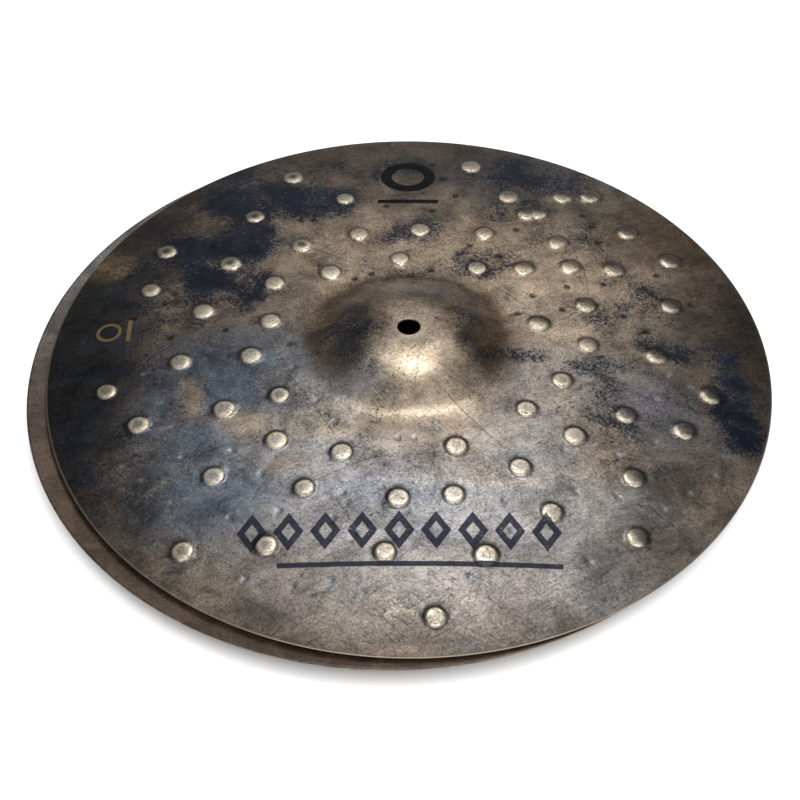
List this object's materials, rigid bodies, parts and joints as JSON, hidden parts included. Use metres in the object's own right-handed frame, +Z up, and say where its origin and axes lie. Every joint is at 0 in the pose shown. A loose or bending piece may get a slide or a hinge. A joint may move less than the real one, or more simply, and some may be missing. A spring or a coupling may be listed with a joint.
{
  "type": "hi hat cymbal pair",
  "caption": "Matched pair of round hammered bronze hi-hat cymbals laid rim to rim, each a thin domed disc with a raised bell and a centre hole; the top one lifts off.",
  "frame": {"origin": "under the middle of the pair, on the surface that the bottom cymbal's crown stands on", "axes": "+Z up through both cymbals, along their shortest extent; +X to the right and +Y to the back as the pair is seen from its front, where the top cymbal is slid right and back on the bottom one"},
  "size_m": [0.3904, 0.3864, 0.0599],
  "materials": {
    "bottom_bronze": "dark raw bronze, worn and oxidised, fine radial grain, semi-matt",
    "top_bronze": "raw hammered bronze with blue-black oxide patches, bright hammer marks, semi-matt"
  },
  "bodies": {
    "bottom": {"bottom_cymbal": "bottom_bronze"},
    "top": {"top_cymbal": "top_bronze"}
  },
  "joints": [
    {"name": "top_cymbal_lift", "type": "slide", "parent": "bottom", "child": "top", "axis": [0, 0, 1], "range_m": [0, 0.06]}
  ]
}
